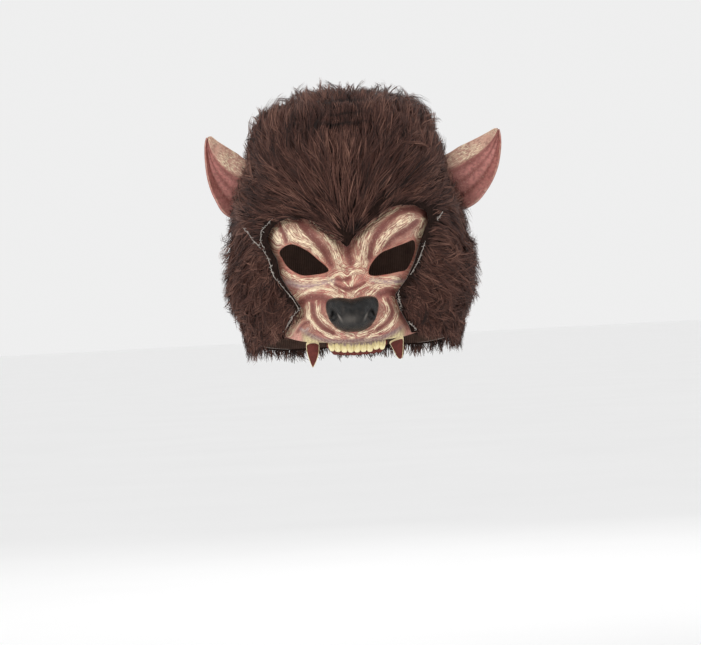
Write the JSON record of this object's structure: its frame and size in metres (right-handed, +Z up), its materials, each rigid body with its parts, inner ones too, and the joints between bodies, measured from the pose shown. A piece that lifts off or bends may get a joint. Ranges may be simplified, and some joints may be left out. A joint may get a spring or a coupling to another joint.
{
  "type": "werewolf mask",
  "caption": "Half-face werewolf mask: soft latex brow, snout, teeth and fangs under a deep fur hood with two pointed ears, held up as a head holds it.",
  "frame": {"origin": "inside of the crown, where it rests on the top of the head that wears it", "axes": "+Z up, the face looks to -Y, +X to the viewer's right (the wearer's left)"},
  "size_m": [0.2341, 0.2593, 0.2199],
  "materials": {
    "knit_backing": "pale grey-white knit backing of fur fabric, raw cut edge",
    "brown_fur": "deep chocolate-brown pile, matt with a soft sheen",
    "face_latex": "dusty rose latex dry-brushed in cream over its ridges",
    "nose_black": "black latex with a low shine",
    "tooth_cream": "cream-yellow painted latex",
    "fang_rust": "rust-brown latex with a thin cream rim",
    "ear_latex": "rose-pink latex with a cream dry-brushed rolled edge"
  },
  "bodies": {
    "root": {"hood_backing": "knit_backing", "crown_fur": "brown_fur", "cheek_fur_left": "brown_fur", "cheek_fur_right": "brown_fur", "face_shell": "face_latex", "nose": "nose_black", "upper_teeth": "tooth_cream", "fang_left": "fang_rust", "fang_right": "fang_rust", "ear_left": "ear_latex", "ear_right": "ear_latex"}
  },
  "joints": []
}
